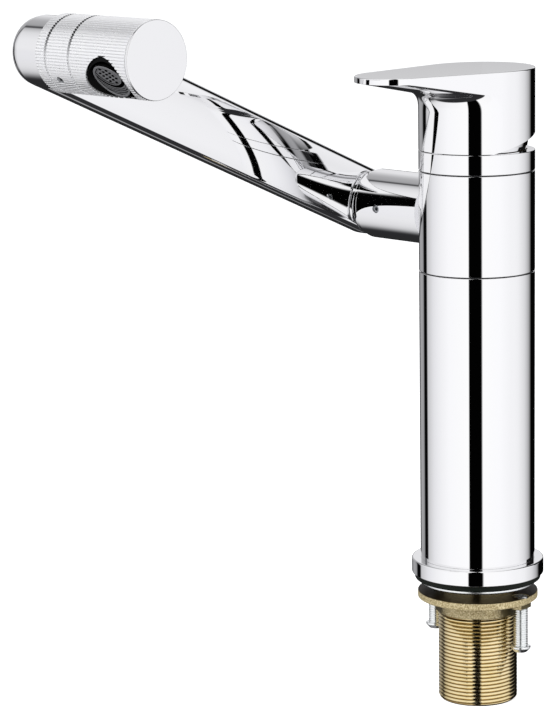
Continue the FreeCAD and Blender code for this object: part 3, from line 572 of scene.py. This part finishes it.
def cut(made, cutters, crease, crossed=False):
    """Cut closed surfaces out of a piece, whose own parts may be crossed, and shade the result."""
    made.modifiers.clear()
    tools = []
    for number, cutter in enumerate(cutters):
        tool = bpy.data.objects.new(f"cutter_{number}", mesh_from(f"cutter_{number}", [cutter]))
        scene.collection.objects.link(tool)
        tools.append(tool)
        knife = made.modifiers.new(f"cut_{number}", "BOOLEAN")
        knife.operation = "DIFFERENCE"
        knife.solver = "EXACT"
        knife.use_self = crossed
        knife.object = tool
    bpy.context.view_layer.update()
    graph = bpy.context.evaluated_depsgraph_get()
    result = bpy.data.meshes.new_from_object(made.evaluated_get(graph))
    made.modifiers.clear()
    old = made.data
    made.data = result
    result.name = made.name
    bpy.data.meshes.remove(old)
    for tool in tools:
        bpy.data.objects.remove(tool)
    smooth(made, crease)


sand_brass, tree, shader = material("sand_cast_brass")
sand = grain(tree, 0.55, 6.0)
sand_tone = ramp(tree, sand, [(0.36, "8A7850"), (0.5, "B5A57C"), (0.66, "DCCFA8")])
facing = add(tree, "ShaderNodeNewGeometry").outputs["True Normal"]
# Painted shade: faces turned up are coloured deep brown, duller and less shiny
upturned_shade = between(tree, add(tree, "ShaderNodeSeparateXYZ", {0: facing}).outputs["Z"], 0.3, 0.8)
# Painted shade on the hexagon's flats that turn away from the front
to_front = add(tree, "ShaderNodeVectorMath",
               {0: facing, 1: (cos(front_flat), sin(front_flat), 0)}, operation="DOT_PRODUCT")
turned_off = between(tree, to_front.outputs["Value"], 0.86, 0.6)
place = add(tree, "ShaderNodeSeparateXYZ", {0: add(tree, "ShaderNodeTexCoord").outputs["Object"]})
hub_only = reckon(tree, "LESS_THAN", place.outputs["Z"], (disc_bottom - 0.05) * MM)
top_shaded_tone = mixed(tree, upturned_shade, sand_tone, linear("1C1408"))
shaded_tone = mixed(tree, reckon(tree, "MULTIPLY", turned_off, hub_only), top_shaded_tone,
                    linear("4A4022"))
dullness = spread(tree, grain(tree, 6.0), 0.42, 0.6)
feed(tree, shader, {"Base Color": shaded_tone, "Metallic": spread(tree, upturned_shade, 0.35, 0.2),
                    "Specular IOR Level": spread(tree, upturned_shade, 0.5, 0.05),
                    "Roughness": add(tree, "ShaderNodeMix",
                                     {0: upturned_shade, 2: dullness, 3: 0.42}).outputs[0],
                    "Normal": bumped(tree, sand, 0.5, 0.12)})


def hub_outline(angle, station):
    """Hexagon whose corners are turned to a cone."""
    aside = (angle - front_flat + pi / 6) % (pi / 3) - pi / 6
    share = (station - nut_bottom) / (disc_bottom - nut_bottom)
    corner = corner_low + (corner_high - corner_low) * share
    edge = max(0.0, hub_chamfer - (station - nut_bottom))
    return min(flat_distance / cos(aside), corner) - edge


def round_within(offset, radius, limit):
    """Outline of a round block that stops at a larger circle about a point that lies off it."""
    def radius_at(angle, station):
        along_out = offset.x * cos(angle) + offset.y * sin(angle)
        to_limit = -along_out + sqrt(along_out ** 2 - offset.length_squared + limit ** 2)
        return min(radius, to_limit)
    return radius_at


screw_centres = [Vector((cos(screw_heading + pi * number), sin(screw_heading + pi * number), 0))
                 * screw_pitch_radius for number in (0, 1)]
disc = turned(ring_corners(nut_high.x, shank_neck, disc_bottom, nut_face,
                           disc_rounding, disc_rounding))
hub = relief_rod([nut_bottom + row for row in hub_rows] + [disc_bottom, disc_bottom + hub_sink],
                 360, hub_outline, hub_bore)
bosses = [relief_rod([disc_bottom - boss_drop, nut_face - nut_disc / 2], 96,
                     round_within(centre, boss_radius, boss_limit), origin=centre)
          for centre in screw_centres]
clamp = piece("clamp_nut", [disc, hub] + bosses, sand_brass, "tap_body", "clamp_nut")
holes = [turned([(0, nut_bottom - 2, 0), (hole_radius, nut_bottom - 2, 0),
                 (hole_radius, nut_face - 2 * hole_mouth_depth, 0),
                 (hole_mouth_radius, nut_face - hole_mouth_depth, 0),
                 (hole_mouth_radius, nut_face + 1, 0), (0, nut_face + 1, 0)],
                48, False, centre) for centre in screw_centres]
cut(clamp, holes, 35, True)


# Clamp screws
# Two round-headed steel screws, bright zinc plated, that jack the washer up. One
# is turned in further than the other.
screw_radius = 3.0
screw_thread_pitch = 1.0
screw_thread_depth = 0.4
screw_length = 21.7
screw_tips = (-5.0, -1.8)     # heights
screw_head_radius = 4.2
screw_head_height = 2.4
screw_head_top = screw_head_radius * 0.62
drive_radius = 1.6
drive_depth = 1.4
for number, (centre, tip) in enumerate(zip(screw_centres, screw_tips)):
    shaft_low = tip - screw_length
    head_low = shaft_low - screw_head_height
    shaft = relief_rod(evenly(shaft_low, tip, screw_thread_pitch / 12), 48,
                       thread_radius(screw_radius, screw_thread_pitch, screw_thread_depth,
                                     shaft_low, 0.0, 0.3), origin=centre)
    head = turned([(0, shaft_low + 0.3, 0), (screw_head_radius, shaft_low + 0.3, 0.5),
                   (screw_head_radius, shaft_low - 0.6, 0.8), (screw_head_top, head_low, 0.8),
                   (drive_radius + 0.3, head_low, 0.1),
                   (drive_radius, head_low + drive_depth, 0.1),
                   (0, head_low + drive_depth, 0)], 64, False, centre)
    piece(f"clamp_screw_{number + 1}", [shaft, head], zinc, "tap_body", "clamp_screws",
          50)


# Turning spout section
# Cast and turned brass sleeve that goes round the column's core, with the stub
# that carries the arm. It is polished and plated in one piece.
housing_low, housing_high = box_mm("swivel_housing")
arm_foot = Vector(joints["arm_tilt"]["pos_m"]) / MM
arm_head = Vector(joints["outlet_turn"]["pos_m"]) / MM
stub_end = housing_low.y
stub_radius = 14.7
stub_chamfer = 0.3
housing_bore = 20.65
stub_root = -housing_bore - 1.0
spigot_radius = box_mm("arm_spigot")[1].x
stub_tube = relief_rod([stub_end] + evenly(stub_end + stub_chamfer, stub_root, 0.9), 192,
                       lambda angle, station: stub_radius - max(0.0, stub_chamfer
                                                                - (station - stub_end)),
                       spigot_radius, Vector((0, 0, arm_foot.z)), ALONG_Y)
housing_tube = turned(ring_corners(column_radius, housing_bore, housing_low.z, housing_high.z,
                                   0.25, 0.25))
stub = piece("spout_section", [housing_tube, stub_tube], chrome, "spout_section",
             "swivel_housing")

grub_radius = 1.7
grub_seat = 9.3
grub_from_arm = 20.75
grub_place = Vector((0, arm_foot.y + grub_from_arm, arm_foot.z))
hole_floor = 11.0
sink_height = 0.35
cut(stub, [turned([(0, hole_floor, 0), (grub_radius, hole_floor, 0),
                   (grub_radius, stub_radius - 0.15, 0),
                   (grub_radius + 0.5, stub_radius + sink_height, 0),
                   (0, stub_radius + sink_height, 0)], 48, False, grub_place, ALONG_X)], 30)


# Set screws
# Small stainless screws that lock the arm and the head; each has a six-sided
# socket and sits just under the plated face.
socket_radius = 0.9
socket_depth = 1.3
screw_steel = metal_skin("stainless_steel", "9FA1A4", 0.25, 0.4, 0.6)


def rod(radius, start, end, steps, origin=ORIGIN, along=UP, lower=0.0, upper=0.0):
    """Solid rod with rounded edges, as (points, faces)."""
    return turned([(0, start, 0), (radius, start, lower), (radius, end, upper), (0, end, 0)],
                  steps, False, origin, along)


def set_screw(name, end, origin, along, body, node):
    """Set screw that ends at this distance from the axis it points away from."""
    made = piece(name, [rod(grub_radius - 0.05, grub_seat, end, 48, origin, along, 0.2, 0.25)],
                 screw_steel, body, node)
    cut(made, [relief_rod([end - socket_depth, end + 1.0], 6,
                          lambda angle, station: socket_radius, 0.0, origin, along)], 30)


set_screw("stub_set_screw", stub_radius - 0.5, grub_place, ALONG_X, "spout_section",
          "stub_grub_screw")


# Arm
# Flat brass bar with full round ends and gently crowned faces, forged, polished
# and plated. A round boss meets the stub and a short neck carries the head.
arm_way = (arm_head - arm_foot).normalized()
arm_across = ALONG_Y.cross(arm_way).normalized()
half_height = 13.7
half_thickness = 6.7
crown_radius = 60.0
corner_radius = 3.2
back_corner = (2.9, 5.7)      # how far it runs in from the rim and from the middle plane
crown_centre = half_thickness - crown_radius
corner_lean = asin((half_height - corner_radius) / (crown_radius - corner_radius))
corner_out = crown_centre + (crown_radius - corner_radius) * cos(corner_lean)


def bar_section():
    """(distance from the middle line, height) from the front face's middle to the back's."""
    outline = []
    for angle in spaced(0, corner_lean, 12):
        outline.append((crown_radius * sin(angle), crown_centre + crown_radius * cos(angle)))
    for angle in spaced(corner_lean, pi / 2, 12)[1:]:
        outline.append((half_height - corner_radius + corner_radius * sin(angle),
                        corner_out + corner_radius * cos(angle)))
    inward, deep = back_corner
    for angle in spaced(pi / 2, radians(5), 16)[1:]:
        outline.append((half_height - inward + inward * sin(angle), -deep * cos(angle)))
    for angle in spaced(asin((half_height - inward) / crown_radius), 0, 12):
        outline.append((crown_radius * sin(angle), -crown_centre - crown_radius * cos(angle)))
    return outline


def lofted(rows):
    """Closed skin over rows of points set round a piece, capped at the rows' ends."""
    count = len(rows[0])
    faces = []
    for number in range(len(rows)):
        here, there = number * count, (number + 1) % len(rows) * count
        faces += [(here + spot, here + spot + 1, there + spot + 1, there + spot)
                  for spot in range(count - 1)]
    for spot in (0, count - 1):
        faces.append(tuple(range(spot, len(rows) * count, count)))
    return [point for row in rows for point in row], faces


def flat_bar():
    """Bar with round ends, swept from its half section."""
    stations = [(arm_foot, angle) for angle in spaced(pi / 2, 3 * pi / 2, 64)]
    stations += [(arm_head, angle) for angle in spaced(-pi / 2, pi / 2, 64)]
    section = bar_section()
    rows = []
    for centre, angle in stations:
        out = arm_way * cos(angle) + arm_across * sin(angle)
        rows.append([centre + out * across + ALONG_Y * height for across, height in section])
    return lofted(rows)


neck_radius = 14.0
neck_end = 11.5
foot_radius = 13.2
foot_end = 6.9
joint_ring_start, joint_ring_end = 6.5, 8.6
arm_boss = turned(ring_corners(foot_radius, spigot_radius, 0, foot_end, 0, 0.2), 128, True,
                  arm_foot, ALONG_Y)
head_neck = turned(ring_corners(neck_radius, spigot_radius, 0, neck_end, 0, 0.5), 160, True,
                   arm_head, ALONG_Y)
piece("arm", [flat_bar(), arm_boss, head_neck], chrome, "arm", "arm_bar")
piece("arm_joint_ring",
      [turned(ring_corners(box_mm("arm_joint_ring")[1].x, spigot_radius, joint_ring_start,
                           joint_ring_end, 0.3, 0.5), 160, True, arm_foot, ALONG_Y)],
      chrome, "arm", "arm_joint_ring")


# Knurled head rings
# Turned brass rings with straight cut knurling, plated over. The cutter leaves
# narrow grooves between flat lands, and both ends are chamfered.
head_radius = box_mm("outlet_barrel")[1].x - arm_head.x
ridge_count = 80
ridge_depth = 0.45
groove_share = 0.4
ring_chamfer = 0.6
steps_per_ridge = 10
knurl_chrome = metal_skin("knurled_chrome", "F6F6F7", 0.24, 0.32, metallic=0.8)


def knurled(start, end, bore, last=ring_chamfer):
    """Knurled tube; last is the size of the chamfer at its outer end."""
    def radius_at(angle, station):
        share = angle * ridge_count / (2 * pi) % 1.0
        into = 1 - abs(share - 0.5) / (groove_share / 2)
        fall = max(0.0, ring_chamfer - (station - start), last - (end - station))
        return head_radius - max(ridge_depth * max(0.0, into), fall)

    stations = spaced(start, start + ring_chamfer, 4)
    stations += evenly(start + ring_chamfer, end - last, 3.0)[1:-1]
    stations += spaced(end - last, end, 4)
    return relief_rod(stations, ridge_count * steps_per_ridge, radius_at, bore, arm_head, ALONG_Y)


# Painted shadow in the gap beside a ring's end, darkest where the chamfer faces up
seam_shade_finish, tree, shader = material("painted_seam_shade")
facing = add(tree, "ShaderNodeNewGeometry").outputs["True Normal"]
seam_shade_tone = ramp(tree, add(tree, "ShaderNodeSeparateXYZ", {0: facing}).outputs["Z"],
                 [(0.0, "DCDCDE"), (0.2, "98989A"), (0.4, "161617")])
feed(tree, shader, {"Base Color": seam_shade_tone, "Metallic": 0.35,
                    "Roughness": spread(tree, grain(tree, 2.0), 0.3, 0.45)})


def shade_seam(made, seam):
    """Painted shadow on the chamfer at a ring's outer end."""
    made.data.materials.append(seam_shade_finish)
    for face in made.data.polygons:
        if abs(face.center.y / MM - arm_head.y - seam) < ring_chamfer:
            face.material_index = 1


def along_head(node):
    """Start and end of a head piece along its axis, from the arm's middle plane."""
    return [corner.y - arm_head.y for corner in box_mm(node)]


ring_grub_station = 22.9
ring_hole_floor = 9.0
ring_grub_angle = radians(36.5)
ring_grub_way = Vector((cos(ring_grub_angle), 0, -sin(ring_grub_angle)))
ring_grub_place = arm_head + ALONG_Y * ring_grub_station
for node in ("inner_knurled_ring", "outer_knurled_ring"):
    ring_start, ring_end = along_head(node)
    made = piece(node, [knurled(ring_start, ring_end, spigot_radius)], knurl_chrome, "arm", node,
                 30)
    if node == "outer_knurled_ring":
        cut(made, [rod(grub_radius, ring_hole_floor, head_radius + 1, 48, ring_grub_place,
                       ring_grub_way)], 30)
    shade_seam(made, ring_end)
set_screw("ring_set_screw", head_radius - 0.6, ring_grub_place, ring_grub_way, "arm",
          "ring_grub_screw")


# Outlet barrel and end cap
# The same knurled tube, cross bored for the outlet, and a polished disc pressed
# into its end.
barrel_tail = 5.0
barrel_start, barrel_end = along_head("outlet_barrel")
mouth_station = 49.9
mouth_radius = 11.3
mouth_floor = 3.0
mouth_angle = radians(42.3)
mouth_way = Vector((cos(mouth_angle), 0, -sin(mouth_angle)))
mouth_centre = arm_head + ALONG_Y * mouth_station
barrel = piece("outlet_barrel",
               [knurled(barrel_start + barrel_tail, barrel_end, spigot_radius + 0.05, 0.12)],
               knurl_chrome, "outlet", "outlet_barrel", 30)
cut(barrel, [rod(mouth_radius, mouth_floor, head_radius + 5, 160, mouth_centre, mouth_way)], 30)

cap_end = along_head("end_cap")[1]
cap_radius = 15.0
cap_plug_radius = 11.0
cap_plug_depth = 1.4
piece("end_cap", [turned([(0, barrel_end - cap_plug_depth, 0),
                          (cap_plug_radius, barrel_end - cap_plug_depth, 0),
                          (cap_plug_radius, barrel_end, 0), (cap_radius, barrel_end, 0.15),
                          (cap_radius, cap_end, 0.35), (0, cap_end, 0)],
                         200, False, arm_head, ALONG_Y)],
      chrome, "outlet", "end_cap")


# Aerator
# Moulded black housing in the cross bore and a dark grey insert: a rim, a field
# of six-sided holes, a black crescent below it and fine ribs under that.
# Black moulding, also used as painted shade deep in the insert's holes and slots
black_plastic_and_shade = moulded("black_moulding_and_shade", "050505", 0.45, 0.5, 0.15, 0.06)
grey_plastic = moulded("grey_moulding", "626264", 0.42, 0.4)
coat(black_plastic_and_shade, "aerator_housing")
insert_radius = 8.2
opening_radius = 7.2
insert_seat = 6.0
insert_face = 12.2
insert_shift = 1.3
field_radius = 6.95
field_sink = 0.6
field_face = insert_face - field_sink
slot_radius = 8.45
rib_pitch = 0.95
rib_width = 0.5
rib_count = 4
well_depth = 2.5
hole_rows_way = (Vector((-1.317, -0.855)), Vector((-0.9, 2.4)))     # from hole to hole, row to row
hole_start = Vector((1.94, -0.38))
hole_share = 0.38
hole_depth = 1.4
insert_right, insert_down = square_to(mouth_way)
insert_centre = mouth_centre + insert_down * insert_shift
field_offset = Vector((4.85, -0.4))
field_centre = insert_centre + insert_right * field_offset.x + insert_down * field_offset.y


def prism(outline, low, high):
    """Straight-sided block over an outline drawn on the insert's face."""
    points = [insert_centre + insert_right * spot.x + insert_down * spot.y + mouth_way * height
              for height in (low, high) for spot in outline]
    count = len(outline)
    faces = [tuple(range(count)), tuple(range(count, 2 * count))]
    return points, faces + band(0, count, count)


def bow(inner, outer, high):
    """Curved rib between two arcs about the field's centre, inside the rim."""
    away = atan2(-field_offset.y, -field_offset.x)
    outline = []
    for radius, turn in ((inner, 1), (outer, -1)):
        closest = ((radius ** 2 + field_offset.length_squared - (opening_radius + 0.1) ** 2)
                   / (2 * radius * field_offset.length))
        half = turn * acos(min(1.0, closest))
        for angle in spaced(away - half, away + half, 24):
            outline.append(field_offset + Vector((cos(angle), sin(angle))) * radius)
    return prism(outline, insert_seat, high)


def paint_deep_shade(made, wall_reach, floor_reach=inf):
    """Painted shade: black for walls and floors that lie deeper than this below the insert's face."""
    made.data.materials.append(black_plastic_and_shade)
    for face in made.data.polygons:
        depth = insert_face - (face.center / MM - insert_centre).dot(mouth_way)
        upright = abs(face.normal.dot(mouth_way)) < 0.6
        if depth > (wall_reach if upright else floor_reach):
            face.material_index = 1


rim = turned([(opening_radius, insert_seat, 0), (insert_radius, insert_seat, 0),
              (insert_radius, insert_face, 0.3), (opening_radius, insert_face, 0.35)],
             128, True, insert_centre, mouth_way)
# A raised edge round the field, the floor of the slots, and the ribs between them
ribs = [bow(field_radius - 0.5, field_radius, insert_face - 0.3),
        bow(slot_radius + 0.1, opening_radius + field_offset.length - 0.1, insert_face - 0.95)]
for number in range(rib_count):
    rib_start = slot_radius + rib_pitch * number
    ribs.append(bow(rib_start, rib_start + rib_width, insert_face - 0.5))
# Painted shade: the insert's walls deeper than 0.6 mm below its face are black
paint_deep_shade(piece("aerator_insert", [rim] + ribs, grey_plastic, "outlet", "aerator_insert",
              30), 0.6)
piece("aerator_well", [rod(opening_radius + 0.1, insert_seat, insert_face - well_depth, 96,
                           insert_centre, mouth_way)],
      black_plastic_and_shade, "outlet", "aerator_insert")
field_block = relief_rod([insert_seat, field_face - 0.25, field_face], 96,
                         round_within(field_offset, field_radius, opening_radius - 0.25),
                         origin=field_centre, along=mouth_way)
field = piece("aerator_field", [field_block], grey_plastic, "outlet", "aerator_insert",
              30)
holes = []
for row in range(-4, 5):
    for number in range(-6, 7):
        spot = hole_start + hole_rows_way[0] * number + hole_rows_way[1] * row
        corners = [spot + (hole_rows_way[0] * cos(pi * corner / 3)
                           + hole_rows_way[1] * sin(pi * corner / 3)) * hole_share
                   for corner in range(6)]
        if all((corner - field_offset).length < field_radius - 0.4
               and corner.length < opening_radius - 0.32 for corner in corners):
            holes.append(prism(corners, field_face - hole_depth, insert_face + 0.5))
cut(field, holes, 30)
# Painted shade: the holes' deep walls and floors are black
paint_deep_shade(field, field_sink + 0.1, 1.5)


# Lever
# Die-cast handle, polished and plated: a skirt round the cartridge that flows
# into a flat paddle with straight sides and a round tip.
lever_heading = radians(-11.0)
skirt_bottom = box_mm("lever_handle")[0].z
root_height = skirt_bottom + 23.2
rim_height = skirt_bottom + 30.0
top_height = skirt_bottom + 33.2
top_fall = tan(radians(0.65))
tip_distance = 40.7
tip_radius = 16.5
edge_radius = 0.6
root_fillet = 7.5
lever_wall = 1.8
lever_inside = column_radius - lever_wall
climb_shares = (0.35, 0.6, 0.8, 0.93)      # rows between the root fillet and the paddle's edge
socket_boss_radius = 8.0
socket_boss_drop = 8.5
ceiling = joints["lever_lift"]["pos_m"][2] / MM + 17.0
skirt_rise_start = 8.0
skirt_rise = tan(radians(14.5))
side_lean = asin((column_radius - tip_radius) / tip_distance)
side_angle = pi / 2 - side_lean


def paddle_marks():
    """(body point, outline point, outline's outward direction) round the handle."""
    def mark(angle, share):
        """Mark in this direction, with its outline this share of the way to the paddle's edge."""
        out = Vector((cos(angle), sin(angle)))
        body = out * column_radius
        return body, body.lerp(Vector((tip_distance, 0)) + out * tip_radius, share), out

    sides = spaced(0, 1, 40)[1:-1]
    return ([mark(angle, 1) for angle in spaced(-side_angle, side_angle, 72)]
            + [mark(side_angle, 1 - share) for share in sides]
            + [mark(angle, 0) for angle in spaced(side_angle, 2 * pi - side_angle, 72)]
            + [mark(-side_angle, share) for share in sides])


def skirt_lip(place):
    """Height of the skirt's lip, which rises toward the back."""
    return skirt_bottom + max(0.0, skirt_rise_start - place.x) * skirt_rise


def lever_column(body, outline, out):
    """Points up one side of the handle, from the skirt's lip to the top's edge."""
    lip = skirt_lip(body)
    reach = (outline - body).length
    toward = (outline - body).normalized() if reach > 0 else out
    climb = Vector((reach, rim_height - root_height))
    slope = climb.normalized()
    blend = root_fillet * tan(atan2(reach, rim_height - root_height) / 2)
    column = [(0.0, lip), (0.0, lip + 0.4), (0.0, root_height - blend - 0.5)]
    start, bend = Vector((0, root_height - blend)), Vector((0, root_height))
    end = bend + slope * blend
    for share in spaced(0, 1, 12):
        column.append(start.lerp(bend, share).lerp(bend.lerp(end, share), share))
    for share in climb_shares:
        column.append(bend + slope * (blend + (climb.length - blend) * share))
    points = [Vector((*(body + toward * across), height)) for across, height in column]
    points += [Vector((*outline, rim_height)), Vector((*outline, rim_height + 0.25))]
    top = top_height - outline.x * top_fall
    for angle in spaced(0, pi / 2, 8):
        inset = edge_radius * (1 - cos(angle))
        points.append(Vector((*(outline - out * inset), top - edge_radius * (1 - sin(angle)))))
    return points


def lever_surface():
    """Closed skin of the handle: outside, lip, hollow and ceiling."""
    turn = Matrix.Rotation(lever_heading, 3, "Z")
    rows = []
    for body, outline, out in paddle_marks():
        inside = body.normalized() * lever_inside
        column = [Vector((*inside, ceiling)), Vector((*inside, skirt_lip(inside)))]
        column += lever_column(body, outline, out)
        rows.append([turn @ point for point in column])
    return lofted(rows)


socket_boss = rod(socket_boss_radius, ceiling - socket_boss_drop, ceiling + 1, 96, lower=0.4)
piece("lever", [lever_surface(), socket_boss], chrome, "lever", "lever_handle", 28)


# Dome and plug
# Spun brass cap over the cartridge, plated; it shows under the lever's raised
# skirt. The plug, plated too, covers the hole of the lever's set screw.
coat(chrome, "dome_cap", "lever_plug")


# Cartridge and inner works
# Acetal cartridge with lapped ceramic discs, a cast brass core with turned
# spigots, rubber seals and small steel parts. They show when a joint is opened.
coat(moulded("white_acetal", "DCDCD6", 0.4, 0.4),
     "cartridge_shell", "cartridge_turret", "disc_carrier")
coat(moulded("lapped_ceramic", "EDEBE4", 0.12, 0.2, 0.03),
     "fixed_ceramic_disc", "moving_ceramic_disc")
coat(moulded("seal_rubber", "0E0E0F", 0.45, 0.4), "swivel_seals", "arm_seals", "outlet_seals")
coat(machined_brass("turned_brass", "E6CC8C", "CDAE6C", 0.22)[0],
     "arm_spigot", "outlet_spigot", "cartridge_nut", "cartridge_stem")
coat(sand_brass, "valve_body")
coat(screw_steel, "retaining_clip", "stem_pin", "lever_grub_screw")


bpy.context.view_layer.update()
